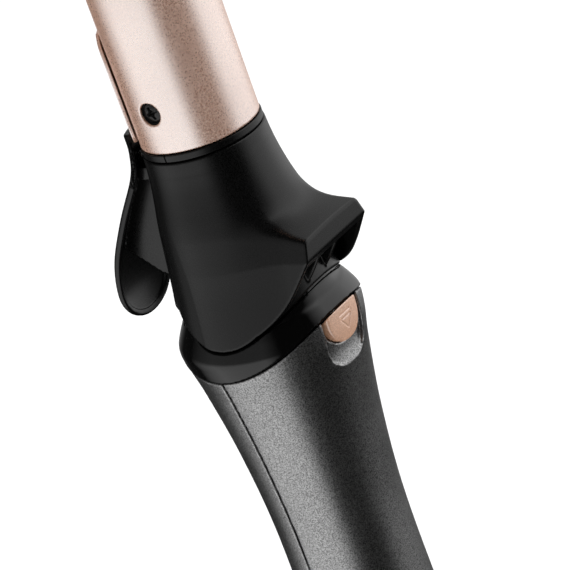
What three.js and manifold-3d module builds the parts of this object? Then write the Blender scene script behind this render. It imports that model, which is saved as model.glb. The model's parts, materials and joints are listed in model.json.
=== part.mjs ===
// Curling iron: a clamp barrel whose neck plugs into a handle, standing on the handle's end.
// Millimetres, +Z up. Each sub-part is drawn about the barrel's axis, with height 0 at the rim
// where barrel and neck meet: the tip is at +Z, the clamp at +Y and the rest foot at -Y.
// The last lines move the whole iron so that Z = 0 is the surface it stands on.

import * as THREE from 'three';
import { mergeVertices } from 'three/addons/utils/BufferGeometryUtils.js';
import Module from 'manifold-3d';

const wasm = await Module();
wasm.setup();

// ---------- driving dimensions ----------

const BARREL_RADIUS = 16;
const BARREL_WALL = 0.8;
const BARREL_TOP = 128;
const TIP_TOP = 150;
const HANDLE_END = -205;
const FOOT_REACH = 31.4;
const LEVER_REACH = 42.4;

const CLEAR = 0.3;
const RUNNING = 0.06;
const SHELL_WALL = 2.2;
const HANDLE_WALL = 2.6;
const ROUND = 32;
const SMALL_ROUND = 12;
const DRUM_ROUND = 48;

const RING_RADIUS = 16.3;
const RING_BOTTOM = -2.1;
const SPIGOT_RADIUS = 14.7;
const PLUG_RADIUS = 11;
const PLUG_END = -71.5;

const TONGUE = { radius: 17.8, y: -3, z: -35.3 };
const NECK_EDGE = -43.9;
const FOOT_HALF = 13.4;
const FOOT_BOTTOM = -32.8;

const SEAM = { radius: 44, y: 3, z: -18 };
const PARTING = 1.3;

const PIN = { y: 18.6, z: -9, radius: 1, half: 7.5 };
const LUG = { inner: 5.9, outer: 7.6, radius: 1.9 };
const CHEEK = { inner: 3.9, outer: 5.6, radius: 2.3 };

const SCREW_HEIGHT = 11.2;
const CATCH = { top: -57, bottom: -60 };
const BUTTON = { half: 6.8, bottom: -62.3, gap: 0.5 };
const PLATE = { inner: 16.55, thickness: 0.8, low: 1, high: 138, lift: 2.4 };
const PLATE_ANGLE = { root: 47, blade: 18.5, point: 14 };
const PLATE_ROWS = [138, 134, 130, 126, 122, 34, 32.5, 31, 30, 28.5, 27, 1];
const LEVER = { root: 10, paddle: 11, thickness: 2, length: 11 };
const RIVET = { x: 3, z: 0.3, radius: 1 };
const HANDLE_SCREWS = [-92, -172];
const POWER_HEIGHT = -118;
const INDICATOR_HEIGHT = -107;
const GLAND_BORE = 9;

// ---------- finishes ----------

function finish(color, roughness, metalness) {
  return new THREE.MeshStandardMaterial({ color, roughness, metalness });
}

const roseGold = () => finish('#c9a594', 0.36, 0.85);
const satinBlack = () => finish('#1d1d1e', 0.45, 0);
const glossBlack = () => finish('#101011', 0.15, 0);
const darkGrey = () => finish('#47474a', 0.4, 0.5);
const innerPlastic = () => finish('#2c2b2a', 0.6, 0);
const steel = () => finish('#9a9b9d', 0.35, 1);
const brass = () => finish('#c3a14d', 0.35, 1);
const aluminium = () => finish('#b9babc', 0.4, 1);
const ceramic = () => finish('#e3ded2', 0.7, 0);
const boardGreen = () => finish('#1f5a3a', 0.6, 0);
const lampWhite = () => finish('#dfe6ea', 0.2, 0);

// ---------- solids ----------

// A closed three.js geometry as a solid that can be cut and joined.
function solid(geometry) {
  geometry.deleteAttribute('normal');
  geometry.deleteAttribute('uv');
  const merged = mergeVertices(geometry, 1e-4);
  const corners = [];
  for (let i = 0; i < merged.index.count; i += 3) {
    const [a, b, c] = [0, 1, 2].map((step) => merged.index.getX(i + step));
    if (a !== b && b !== c && c !== a) corners.push(a, b, c);
  }
  return new wasm.Manifold(new wasm.Mesh({
    numProp: 3,
    vertProperties: new Float32Array(merged.attributes.position.array),
    triVerts: new Uint32Array(corners),
  }));
}

function part(name, body, material) {
  const mesh = body.getMesh();
  const geometry = new THREE.BufferGeometry();
  geometry.setAttribute('position', new THREE.BufferAttribute(mesh.vertProperties, 3));
  geometry.setIndex(new THREE.BufferAttribute(mesh.triVerts, 1));
  geometry.computeVertexNormals();
  const result = new THREE.Mesh(geometry, material);
  result.name = name;
  return result;
}

// Turns a half section of [radius, height] corners about the Z axis.
function revolve(section, segments = ROUND) {
  const points = section.map(([radius, height]) => new THREE.Vector2(radius, height));
  if (THREE.ShapeUtils.area(points) < 0) points.reverse();
  if (section[0][0] > 0) points.push(points[0].clone());
  return solid(new THREE.LatheGeometry(points, segments).rotateX(Math.PI / 2));
}

// A tube or disc between two heights.
function ring(inner, outer, low, high, segments = ROUND) {
  const section = [[inner, low], [outer, low], [outer, high], [inner, high]];
  return revolve(section, segments);
}

function block(x0, x1, y0, y1, z0, z1) {
  const box = new THREE.BoxGeometry(x1 - x0, y1 - y0, z1 - z0);
  return solid(box.translate((x0 + x1) / 2, (y0 + y1) / 2, (z0 + z1) / 2));
}

// A round rod along X.
function rodX(radius, x0, x1, y, z, segments = SMALL_ROUND) {
  const rod = new THREE.CylinderGeometry(radius, radius, x1 - x0, segments);
  return solid(rod.rotateZ(Math.PI / 2).translate((x0 + x1) / 2, y, z));
}

// A round rod along Y.
function rodY(radius, y0, y1, x, z, segments = SMALL_ROUND) {
  const rod = new THREE.CylinderGeometry(radius, radius, y1 - y0, segments);
  return solid(rod.translate(x, (y0 + y1) / 2, z));
}

// A round rod along Z.
function rodZ(radius, z0, z1, x, y, segments = SMALL_ROUND) {
  const rod = new THREE.CylinderGeometry(radius, radius, z1 - z0, segments);
  return solid(rod.rotateX(Math.PI / 2).translate(x, y, (z0 + z1) / 2));
}

// A side outline of [y, z] corners, extruded along X.
function slab(outline, x0, x1) {
  const shape = new THREE.Shape(outline.map(([y, z]) => new THREE.Vector2(y, z)));
  const plate = new THREE.ExtrudeGeometry(shape, { depth: x1 - x0, bevelEnabled: false });
  const sideways = new THREE.Matrix4().makeBasis(
    new THREE.Vector3(0, 1, 0),
    new THREE.Vector3(0, 0, 1),
    new THREE.Vector3(1, 0, 0),
  );
  return solid(plate.applyMatrix4(sideways).translate(x0, 0, 0));
}

function smooth(points, count) {
  const curve = new THREE.SplineCurve(points.map(([a, b]) => new THREE.Vector2(a, b)));
  return curve.getPoints(count).map((point) => [point.x, point.y]);
}

function mix(a, b, t) {
  return a + (b - a) * t;
}

// A thick sheet: a box whose points are moved by place(across -1..1, along 0..1, depth 0..1).
// Along runs downwards where across runs to +X and depth outwards to +Y.
function sheet(place, acrossSteps, alongSteps) {
  const box = new THREE.BoxGeometry(2, 1, 1, acrossSteps, alongSteps, 1);
  box.translate(0, 0.5, 0.5);
  const position = box.attributes.position;
  for (let i = 0; i < position.count; i += 1) {
    const [x, y, z] = place(position.getX(i), position.getY(i), position.getZ(i));
    position.setXYZ(i, x, y, z);
  }
  return solid(box);
}

// Wire wound about the X axis, with its coil centred on the origin.
function coil(radius, wire, turns, length) {
  const points = [];
  const steps = turns * 8;
  for (let i = 0; i <= steps; i += 1) {
    const angle = (i / steps) * turns * Math.PI * 2;
    const x = mix(-length / 2, length / 2, i / steps);
    points.push(new THREE.Vector3(x, radius * Math.cos(angle), radius * Math.sin(angle)));
  }
  const section = new THREE.Shape().absarc(0, 0, wire / 2, 0, Math.PI * 2);
  return new THREE.ExtrudeGeometry(section, {
    steps,
    curveSegments: 2,
    bevelEnabled: false,
    extrudePath: new THREE.CatmullRomCurve3(points),
  });
}

// ---------- outlines ----------

// The neck widens from the ring down to the lower edge of its side tongues.
const NECK_SIDE = smooth(
  [[16.5, -2.4], [17.1, -10], [18.7, -20], [20, -30], [21.3, -40], [23.5, -53.3]],
  6,
);

// The handle is widest at the collar, has a waist, and swells again towards its end.
const HANDLE_SIDE = smooth(
  [[25.5, -51], [24.9, -60], [23, -70], [20.2, -90], [18.4, -115], [18.5, -145], [19.7, -175], [20.2, -199]],
  9,
);

function inset(side, depth) {
  return side.map(([radius, height]) => [radius - depth, height]);
}

function shellSection(side, wall) {
  return [...side, ...inset(side, wall).reverse()];
}

function filledSection(side) {
  return [[0, side[0][1]], ...side, [0, side[side.length - 1][1]]];
}

// Everything above the curved seam between collar and handle, less a margin.
function aboveSeam(margin) {
  const drum = rodX(SEAM.radius - margin, -40, 40, SEAM.y, SEAM.z, DRUM_ROUND);
  const lower = drum.subtract(block(-41, 41, -60, 60, SEAM.z, SEAM.z + 60));
  return lower.add(block(-40, 40, -40, 40, SEAM.z, 0));
}

function tongueDrum(margin) {
  return rodX(TONGUE.radius + margin, -40, 40, TONGUE.y, TONGUE.z, ROUND);
}

// ---------- barrel ----------

function barrelTube() {
  const tube = ring(BARREL_RADIUS - BARREL_WALL, BARREL_RADIUS, CLEAR / 2, BARREL_TOP);
  const screwHole = rodX(3.1, -20, 20, 0, SCREW_HEIGHT);
  return tube.subtract(screwHole);
}

function barrelScrew(side) {
  const head = rodX(2.8, 13.1, 15.3, 0, SCREW_HEIGHT);
  const shank = rodX(1.4, 10.2, 13.2, 0, SCREW_HEIGHT);
  const slot = block(14.3, 16, -0.35, 0.35, SCREW_HEIGHT - 1.6, SCREW_HEIGHT + 1.6);
  const crossSlot = block(14.3, 16, -1.6, 1.6, SCREW_HEIGHT - 0.35, SCREW_HEIGHT + 0.35);
  const screw = head.add(shank).subtract(slot).subtract(crossSlot);
  return side < 0 ? screw.rotate([0, 0, 180]) : screw;
}

function rimRing() {
  const band = ring(SPIGOT_RADIUS + CLEAR, RING_RADIUS, RING_BOTTOM, -CLEAR / 2);
  return band.subtract(block(-20, -10, -0.2, 0.2, -5, 5));
}

function tipCap() {
  const side = [[BARREL_RADIUS, 136], [15.6, 142], [13.6, 147.4], [9, TIP_TOP - 0.4], [0, TIP_TOP]];
  const dome = smooth(side, 5);
  const inside = [[0, 146], [9, 145.4], [13, 140], [13, BARREL_TOP + CLEAR]];
  return revolve([...inside, [BARREL_RADIUS, BARREL_TOP + CLEAR], ...dome]);
}

function tipPlug() {
  const radius = BARREL_RADIUS - BARREL_WALL - CLEAR;
  const outside = [[3, 116], [radius, 116], [radius, 127.5], [12.6, 127.5], [12.6, 138]];
  const inside = [[9, 138], [9, 124], [3, 124]];
  return revolve([...outside, ...inside]);
}

function heatSpreader(side) {
  const round = rodZ(14.8, 24, 112, 0, 0, 32);
  const half = side < 0 ? block(-20, 20, -20, -1.3, 20, 120) : block(-20, 20, 1.3, 20, 20, 120);
  const groove = rodZ(2.2, 20, 120, 0, side * 9);
  return round.intersect(half).subtract(groove);
}

// ---------- neck ----------

// The foot flares out of the neck like a trumpet, cut to a tongue with straight sides and a flat end.
function footFlare(wall) {
  const flare = smooth([[17, -10], [18.4, -17], [21.5, -22.8], [27, -26], [35, -27.9]], 6);
  const edge = flare.map(([radius, height]) => [radius, height - wall]);
  return revolve([[0, edge[0][1]], ...edge, [35, -60], [0, -60]]);
}

// Its underside slopes from the end face in to the neck. The hollow runs out through it.
function foot(wall) {
  const half = FOOT_HALF - wall;
  const end = -FOOT_REACH + wall;
  const under = wall > 0 ? [[end, -60], [-8, -60]] : [[end, FOOT_BOTTOM], [-16.1, -48.2], [-8, -48.2]];
  return slab([[-8, -9], [end, -9], ...under], -half, half).intersect(footFlare(wall));
}

function neckHollow() {
  const middle = inset(NECK_SIDE, SHELL_WALL).filter(([, height]) => height < -13 && height > -40);
  const bore = SPIGOT_RADIUS + CLEAR;
  return revolve(filledSection([[bore, 0], [bore, -12], ...middle, [20.7, -43], [21.6, -60]]));
}

// The lower edge is level, apart from a round tongue on each side.
function belowNeckEdge() {
  return block(-40, 40, -40, 40, -70, NECK_EDGE).subtract(tongueDrum(0));
}

function footRib() {
  const outline = [[-30, -28.4], [-30, -34], [-20, -43.5], [-14, -43.5], [-14, -21], [-18, -21]];
  return slab(outline, -0.7, 0.7).subtract(rodZ(14.6, -60, 0, 0, 0, ROUND));
}

function hingeLugs() {
  const eye = rodX(LUG.radius, -LUG.outer, LUG.outer, PIN.y, PIN.z);
  const stem = block(-LUG.outer, LUG.outer, 13.4, PIN.y, PIN.z - LUG.radius, PIN.z + LUG.radius);
  return eye.add(stem).subtract(rodZ(SPIGOT_RADIUS + CLEAR, -20, 0, 0, 0, ROUND));
}

// A plate that stands on one side of the middle, between two distances from it.
function sideBlock(side, near, far, y0, y1, z0, z1) {
  return side < 0 ? block(-far, -near, y0, y1, z0, z1) : block(near, far, y0, y1, z0, z1);
}

function neckShell() {
  const outer = revolve(filledSection(NECK_SIDE)).add(foot(0));
  let shell = outer.subtract(neckHollow()).subtract(foot(SHELL_WALL)).subtract(belowNeckEdge());
  shell = shell.add(footRib()).add(hingeLugs());
  for (const side of [-1, 1]) {
    const slot = sideBlock(side, CHEEK.inner - CLEAR, CHEEK.outer + CLEAR, 9, 30, -42.6, PIN.z + 3);
    shell = shell.subtract(slot);
  }
  const springWindow = block(-LUG.inner, LUG.inner, 12, 22, PIN.z - 3, PIN.z + 3);
  const pinHole = rodX(PIN.radius + RUNNING, -12, 12, PIN.y, PIN.z);
  return shell.subtract(springWindow).subtract(pinHole);
}

function neckCore() {
  const spigot = [[SPIGOT_RADIUS, 18], [SPIGOT_RADIUS, -7], [12.2, -9.5], [12.2, -40]];
  const plug = [[PLUG_RADIUS, -44], [PLUG_RADIUS, PLUG_END]];
  const inside = [[9.2, PLUG_END], [9.2, -10], [12, -6], [12, 18]];
  let core = revolve([...spigot, ...plug, ...inside]);
  for (const side of [-1, 1]) {
    core = core.add(sideBlock(side, 9.4, 13.8, -3.4, 3.4, 6.5, 16));
  }
  const headRecess = rodX(3, -20, -12.9, 0, SCREW_HEIGHT).add(rodX(3, 12.9, 20, 0, SCREW_HEIGHT));
  const pilot = rodX(1.5, -20, 20, 0, SCREW_HEIGHT);
  return core.subtract(headRecess).subtract(pilot);
}

function contactPlaces() {
  return [0, 1, 2].map((index) => {
    const angle = Math.PI / 2 + (index * Math.PI * 2) / 3;
    return [5.2 * Math.cos(angle), 5.2 * Math.sin(angle)];
  });
}

function contactPlug() {
  let plug = rodZ(9, -70.8, -64, 0, 0, ROUND);
  for (const [x, y] of contactPlaces()) {
    plug = plug.subtract(rodZ(1.1, -72, -60, x, y));
  }
  return plug;
}

// ---------- clamp ----------

function rivetHoles(body) {
  let drilled = body;
  for (const side of [-1, 1]) {
    drilled = drilled.subtract(rodY(RIVET.radius + RUNNING, 14, 24, side * RIVET.x, RIVET.z));
  }
  return drilled;
}

// The plate hugs the barrel, is widest at its root, and its point lifts away from the barrel.
function clampPlate() {
  const plate = sheet((across, along, depth) => {
    const height = PLATE_ROWS[Math.round(along * (PLATE_ROWS.length - 1))];
    const shoulder = THREE.MathUtils.smoothstep(height, 27, 34);
    const point = THREE.MathUtils.smoothstep(height, 122, PLATE.high);
    const side = mix(PLATE_ANGLE.root, PLATE_ANGLE.blade, shoulder);
    const half = THREE.MathUtils.degToRad(mix(side, PLATE_ANGLE.point, point));
    const lift = PLATE.lift * point;
    const radius = PLATE.inner + PLATE.thickness * depth;
    const angle = across * half;
    return [radius * Math.sin(angle), radius * Math.cos(angle) + lift, height];
  }, 8, PLATE_ROWS.length - 1);
  const tab = block(-5, 5, PLATE.inner, PLATE.inner + PLATE.thickness, -2, PLATE.low + 2);
  return rivetHoles(plate.add(tab));
}

// The lever's outer middle line, from its root over the plate to the end of the paddle.
const LEVER_LINE = new THREE.SplineCurve([
  new THREE.Vector2(20.1, 3),
  new THREE.Vector2(20.6, -2),
  new THREE.Vector2(23.2, -8.5),
  new THREE.Vector2(31.4, -20),
  new THREE.Vector2(39.2, -33),
  new THREE.Vector2(LEVER_REACH, -44),
  new THREE.Vector2(LEVER_REACH - 0.6, -54),
]);

function leverPlate() {
  return sheet((across, along, depth) => {
    const point = LEVER_LINE.getPoint(along);
    const tangent = LEVER_LINE.getTangent(along);
    const swell = THREE.MathUtils.smoothstep(along, 0.2, 0.7);
    const end = THREE.MathUtils.clamp((-43 - point.y) / LEVER.length, 0, 1);
    const x = across * mix(LEVER.root, LEVER.paddle, swell) * Math.sqrt(1 - 0.93 * end * end);
    const bend = mix(20, 26, swell);
    const inward = LEVER.thickness * (1 - depth) + bend - Math.sqrt(bend * bend - x * x);
    return [x, point.x + inward * tangent.y, point.y - inward * tangent.x];
  }, 4, 11);
}

function cheek(side) {
  const outer = [[17, -5.6], [19.4, -4], [23.2, -10.4], [29.4, -19], [36.5, -31.9]];
  const inner = [[26, -39.6], [22.7, -41], [21.6, -38], [19.2, -31.4], [16.9, -11.5]];
  const near = side < 0 ? -CHEEK.outer : CHEEK.inner;
  const far = side < 0 ? -CHEEK.inner : CHEEK.outer;
  return slab([...outer, ...inner], near, far).add(rodX(CHEEK.radius, near, far, PIN.y, PIN.z));
}

function clampLever() {
  const leftRoom = rodX(LUG.radius + CLEAR, -LUG.outer - CLEAR, -LUG.inner + CLEAR, PIN.y, PIN.z);
  const rightRoom = rodX(LUG.radius + CLEAR, LUG.inner - CLEAR, LUG.outer + CLEAR, PIN.y, PIN.z);
  const pinHole = rodX(PIN.radius + RUNNING, -12, 12, PIN.y, PIN.z);
  const lever = leverPlate().add(cheek(-1)).add(cheek(1));
  return rivetHoles(lever.subtract(leftRoom).subtract(rightRoom).subtract(pinHole));
}

function clampRivet(side) {
  const shank = rodY(RIVET.radius, 16.45, 20.8, side * RIVET.x, RIVET.z);
  return shank.add(rodY(1.7, 20.7, 21.3, side * RIVET.x, RIVET.z));
}

// ---------- handle ----------

// A tab straight above and round below, as a prism along Y.
function tabPrism(half, bottom, y0, y1) {
  const shape = new THREE.Shape();
  shape.moveTo(half, -45);
  shape.lineTo(-half, -45);
  shape.lineTo(-half, -54.6);
  shape.bezierCurveTo(-half, bottom + 2.8, -half / 2, bottom, 0, bottom);
  shape.bezierCurveTo(half / 2, bottom, half, bottom + 2.8, half, -54.6);
  const prism = new THREE.ExtrudeGeometry(shape, { depth: y1 - y0, bevelEnabled: false, curveSegments: 4 });
  return solid(prism.rotateX(Math.PI / 2).translate(0, y1, 0));
}

function collar() {
  const flare = [[20.8, -44.5], [21.2, -48.3], [22.4, -50.3], [24.3, -53.6]];
  const band = [...flare, [25.4, -56.2], [25.3, -59], [24.7, -63]];
  const inside = [[19.6, -63], [19.6, -50.6], [11.5, -50.6], [11.5, -47.6], [18, -47.6], [18, -44.5]];
  const sideNotch = tongueDrum(CLEAR + 0.1).subtract(rodZ(20.4, -80, 0, 0, 0, ROUND));
  return revolve([...band, ...inside]).intersect(aboveSeam(0)).subtract(sideNotch);
}

function handleBody() {
  return revolve(shellSection(HANDLE_SIDE, HANDLE_WALL)).subtract(aboveSeam(-CLEAR));
}

function handleFront() {
  const half = block(-40, 40, -40, PARTING - CLEAR / 2, -210, 0);
  const scoop = tabPrism(8.3, -68.6, -40, -15).subtract(revolve(filledSection(inset(HANDLE_SIDE, 1.7))));
  const buttonHole = tabPrism(BUTTON.half + CLEAR, BUTTON.bottom - CLEAR, -40, -15);
  let shell = handleBody().intersect(half).subtract(scoop).subtract(buttonHole);
  for (const height of HANDLE_SCREWS) {
    shell = shell.add(rodY(3.4, -18, PARTING - CLEAR / 2, 0, height));
    shell = shell.subtract(rodY(1.3, -13, PARTING + 1, 0, height));
  }
  return shell;
}

function handleRear() {
  const half = block(-40, 40, PARTING + CLEAR / 2, 40, -210, 0);
  let shell = handleBody().intersect(half);
  for (const height of HANDLE_SCREWS) {
    shell = shell.add(rodY(4.4, PARTING + CLEAR / 2, 18, 0, height));
    shell = shell.subtract(rodY(1.6, 0, 30, 0, height)).subtract(rodY(3.1, 8, 30, 0, height));
  }
  const powerHole = rodY(4.6, 10, 30, 0, POWER_HEIGHT, 24);
  const lensHole = rodY(1.6, 10, 30, 0, INDICATOR_HEIGHT);
  return shell.subtract(powerHole).subtract(lensHole);
}

function handleScrew(height) {
  return rodY(1.2, -11.5, 8.3, 0, height).add(rodY(2.7, 8.2, 10.4, 0, height));
}

function socketBlock() {
  const outside = [[0, -84], [16.5, -84], [16.5, CATCH.bottom - 1]];
  const inside = [[PLUG_RADIUS + 0.4, CATCH.bottom - 1], [PLUG_RADIUS + 0.4, -80.3], [0, -80.3]];
  return revolve([...outside, ...inside]);
}

function baseRing() {
  const foot = [[GLAND_BORE, HANDLE_END], [18.2, HANDLE_END], [19.6, -203.6], [20.2, -201]];
  const spigot = [[20.2, -199.3], [17.2, -199.3], [17.2, -196], [14.5, -196], [14.5, -200.5]];
  return revolve([...foot, ...spigot, [GLAND_BORE, -200.5]]);
}

function swivelGland() {
  const mouth = HANDLE_END + 0.4;
  const flange = [[3.2, mouth], [8.6, mouth], [8.6, -200.2], [11.5, -200.2], [11.5, -197.5]];
  const shaft = [[7, -197.5], [7, -193], [5.5, -193], [5.5, -184], [3.2, -184]];
  return revolve([...flange, ...shaft]);
}

// ---------- buttons ----------

function releaseButton() {
  const skin = revolve(filledSection(inset(HANDLE_SIDE, -0.1)));
  const face = tabPrism(BUTTON.half, BUTTON.bottom, -40, -22.2).intersect(skin);
  const stem = block(-2, 2, -22.4, -17.2, CATCH.bottom, CATCH.top - 0.4);
  return face.subtract(aboveSeam(-BUTTON.gap)).add(stem);
}

// A flat slide with a round window for the plug: pressing the button moves its far side off the plug.
function catchSlide() {
  const window = rodZ(11.9, -70, -50, 0, -0.8, ROUND);
  return rodZ(17, CATCH.bottom, CATCH.top, 0, 0, ROUND).subtract(window);
}

function releaseSpring() {
  const winding = coil(1.3, 0.5, 3, 2.2);
  return solid(winding.rotateZ(Math.PI / 2).translate(4.2, -18.6, (CATCH.top + CATCH.bottom) / 2));
}

function powerButton() {
  const cap = rodY(4.3, 12.8, 18.7, 0, POWER_HEIGHT, 24);
  const flange = rodY(5.3, 12.8, 13.9, 0, POWER_HEIGHT, 24);
  return cap.add(flange).add(rodY(1.4, 10.9, 13, 0, POWER_HEIGHT));
}

function powerSwitch() {
  const body = block(-3, 3, 5.7, 9.2, POWER_HEIGHT - 3, POWER_HEIGHT + 3);
  return body.add(rodY(1.4, 9.1, 10.2, 0, POWER_HEIGHT));
}

// ---------- the whole iron ----------

const iron = new THREE.Group();
iron.position.set(0, (FOOT_REACH - LEVER_REACH) / 2, -HANDLE_END);

function put(name, body, material) {
  iron.add(part(name, body, material));
}

put('barrel_tube', barrelTube(), roseGold());
put('barrel_screw_left', barrelScrew(-1), glossBlack());
put('barrel_screw_right', barrelScrew(1), glossBlack());
put('rim_ring', rimRing(), satinBlack());
put('tip_cap', tipCap(), satinBlack());
put('tip_plug', tipPlug(), innerPlastic());
put('heat_spreader_front', heatSpreader(-1), aluminium());
put('heat_spreader_rear', heatSpreader(1), aluminium());
put('heater_strip', block(-10, 10, -1.1, 1.1, 28, 108), ceramic());
put('thermal_fuse', rodZ(1.6, 40, 52, 0, 9), steel());

put('neck_shell', neckShell(), satinBlack());
put('neck_core', neckCore(), innerPlastic());
put('contact_plug', contactPlug(), innerPlastic());
put('hinge_pin', rodX(PIN.radius, -PIN.half, PIN.half, PIN.y, PIN.z), steel());

put('clamp_plate', clampPlate(), roseGold());
put('clamp_lever', clampLever(), satinBlack());
put('clamp_rivet_left', clampRivet(-1), steel());
put('clamp_rivet_right', clampRivet(1), steel());
put('clamp_spring', solid(coil(1.55, 0.6, 4, 5.2).translate(0, PIN.y, PIN.z)), steel());

put('collar', collar(), glossBlack());
put('handle_front', handleFront(), darkGrey());
put('handle_rear', handleRear(), darkGrey());
put('socket_block', socketBlock(), innerPlastic());
put('circuit_board', block(-11, 11, 4, 5.6, -165, -100), boardGreen());
put('power_switch', powerSwitch(), innerPlastic());
put('indicator_lens', rodY(1.45, 9, 18.6, 0, INDICATOR_HEIGHT), lampWhite());
put('base_ring', baseRing(), satinBlack());
put('swivel_housing', ring(7.6, 14, -196.8, -182), innerPlastic());
put('swivel_gland', swivelGland(), satinBlack());
put('slip_ring_lower', ring(5.56, 7, -192.6, -189.8, 24), brass());
put('slip_ring_upper', ring(5.56, 7, -188.2, -185.4, 24), brass());

put('release_button', releaseButton(), roseGold());
put('catch_slide', catchSlide(), innerPlastic());
put('release_spring', releaseSpring(), steel());
put('power_button', powerButton(), satinBlack());

contactPlaces().forEach(([x, y], index) => {
  put(`contact_pin_${index + 1}`, rodZ(1, -78, -61, x, y), brass());
  put(`contact_sleeve_${index + 1}`, ring(1.25, 2.1, -80.2, -73, SMALL_ROUND).translate([x, y, 0]), brass());
});

HANDLE_SCREWS.forEach((height, index) => {
  put(`handle_screw_${index + 1}`, handleScrew(height), steel());
});

export default iron;
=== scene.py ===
"""Looks of the curling iron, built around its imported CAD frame.

Shapes are drawn in millimetres about the barrel's axis, with height 0 at the barrel's lower rim:
the tip is at +Z, the clamp at +Y and the rest foot at -Y. piece() moves them into the frame, in metres.
Most pieces are distance fields (negative inside) that isosurface() turns into fine quad meshes.
"""

import json
import math

import bpy
import numpy as np
from mathutils import Matrix, Vector


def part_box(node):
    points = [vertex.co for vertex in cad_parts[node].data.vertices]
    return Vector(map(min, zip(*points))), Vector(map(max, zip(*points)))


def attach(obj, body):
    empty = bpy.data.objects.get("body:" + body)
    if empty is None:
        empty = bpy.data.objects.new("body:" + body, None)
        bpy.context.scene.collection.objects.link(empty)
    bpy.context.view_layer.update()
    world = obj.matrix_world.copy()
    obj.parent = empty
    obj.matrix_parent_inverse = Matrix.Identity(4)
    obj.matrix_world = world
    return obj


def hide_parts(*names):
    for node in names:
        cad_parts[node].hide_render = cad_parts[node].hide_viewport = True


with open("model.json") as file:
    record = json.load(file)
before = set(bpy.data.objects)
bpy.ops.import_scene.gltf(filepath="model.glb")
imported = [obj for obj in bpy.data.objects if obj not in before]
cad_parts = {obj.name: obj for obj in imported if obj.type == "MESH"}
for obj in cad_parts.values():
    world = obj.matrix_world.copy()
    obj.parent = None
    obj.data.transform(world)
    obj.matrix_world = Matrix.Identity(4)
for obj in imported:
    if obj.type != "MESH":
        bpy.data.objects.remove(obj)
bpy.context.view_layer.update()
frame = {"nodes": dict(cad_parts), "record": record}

MM = 0.001
RIM_GAP = 0.15
barrel_low, barrel_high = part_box("barrel_tube")
AXIS = np.array([
    (barrel_low.x + barrel_high.x) / 2,
    (barrel_low.y + barrel_high.y) / 2,
    barrel_low.z - RIM_GAP * MM,
])

# ---------- driving dimensions, as in the CAD ----------

BARREL_RADIUS = 16.0
BARREL_WALL = 0.8
BARREL_TOP = 128.0
TIP_TOP = 150.0
HANDLE_END = -205.0
SHELL_WALL = 2.2
HANDLE_WALL = 2.6
GAP = 0.3

SCREW_HEIGHT = 11.2
SCREW_HOLE = 3.1
SCREW_SEAT = 14.55

NECK_EDGE = -43.9
TONGUE_Y, TONGUE_Z, TONGUE_RADIUS = -3.0, -35.3, 17.8
FOOT_END = -31.4
FOOT_BOTTOM = -32.8
FOOT_HALF = 13.9
FOOT_WALL = 1.7
FOOT_SWEEP = 9.0
RIB_PLACE, RIB_HALF = 4.0, 0.45

SEAM_Y, SEAM_Z, SEAM_RADIUS = 3.0, -18.0, 44.0
PARTING, PARTING_GAP = 1.3, 0.28

PIN_Y, PIN_Z = 18.6, -9.0
LUG_INNER, LUG_OUTER, LUG_RADIUS = 5.9, 7.6, 1.9
CHEEK_INNER, CHEEK_OUTER, CHEEK_RADIUS = 3.9, 5.6, 2.3
CHEEK_SLOT_BOTTOM = -42.6
PIN_HOLE, PIN_HOLE_END = 1.06, 7.3
LEVER_THICKNESS = 2.0
LEVER_ROOT, LEVER_PADDLE = 10, 11

PLATE_INNER, PLATE_THICKNESS = 16.55, 0.8
PLATE_LOW, PLATE_HIGH = 1.0, 138.0
PLATE_LIFT, LIFT_START = 2.4, 122
ROOT_HALF, BLADE_HALF, POINT_RADIUS = 13.9, 5.4, 4.2
RIVET_PLACE, RIVET_HEIGHT = 3.0, 0.3

BUTTON_HALF, BUTTON_BOTTOM, BUTTON_GAP = 6.8, -62.3, 0.5
SCOOP_HALF, SCOOP_BOTTOM, SCOOP_DEPTH = 8.3, -68.6, 1.7
HANDLE_SCREWS = (-92.0, -172.0)
POST_RADIUS, WELL_RADIUS, SHANK_HOLE = 4.4, 3.1, 1.6
POWER_HEIGHT, POWER_HOLE = -118.0, 4.6
LENS_HEIGHT, LENS_HOLE = -107.0, 1.6
GLAND_BORE = 9.0
NEAR_AXIS = 0.02


# ---------- outlines ----------

def spline(points, count=24):
    """Points along a Catmull-Rom curve through the given points, count for each stretch."""
    p = np.array(points, float)
    p = np.vstack([2 * p[0] - p[1], p, 2 * p[-1] - p[-2]])
    t = np.linspace(0, 1, count, endpoint=False)[:, None]
    stretches = []
    for a, b, c, d in zip(p, p[1:], p[2:], p[3:]):
        bend = (c - a) * t + (2 * a - 5 * b + 4 * c - d) * t**2 + (3 * b - a - 3 * c + d) * t**3
        stretches.append(b + bend / 2)
    return np.vstack([*stretches, p[-2:-1]])


def arc(center, radius, start, end, count=24):
    angle = np.radians(np.linspace(start, end, count))
    return np.stack([center[0] + radius * np.cos(angle), center[1] + radius * np.sin(angle)], 1)


def joined(*runs):
    return np.vstack([np.atleast_2d(np.array(run, float)) for run in runs])


def rounded(corners, radius, count=5):
    """A closed outline with each corner turned into a small arc."""
    corners = np.array(corners, float)
    result = []
    for before, corner, after in zip(np.roll(corners, 1, 0), corners, np.roll(corners, -1, 0)):
        back, ahead = before - corner, after - corner
        reach = min(radius, 0.45 * np.linalg.norm(back), 0.45 * np.linalg.norm(ahead))
        start = corner + back / np.linalg.norm(back) * reach
        end = corner + ahead / np.linalg.norm(ahead) * reach
        for t in np.linspace(0, 1, count):
            result.append((1 - t)**2 * start + 2 * t * (1 - t) * corner + t**2 * end)
    return np.array(result)


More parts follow.
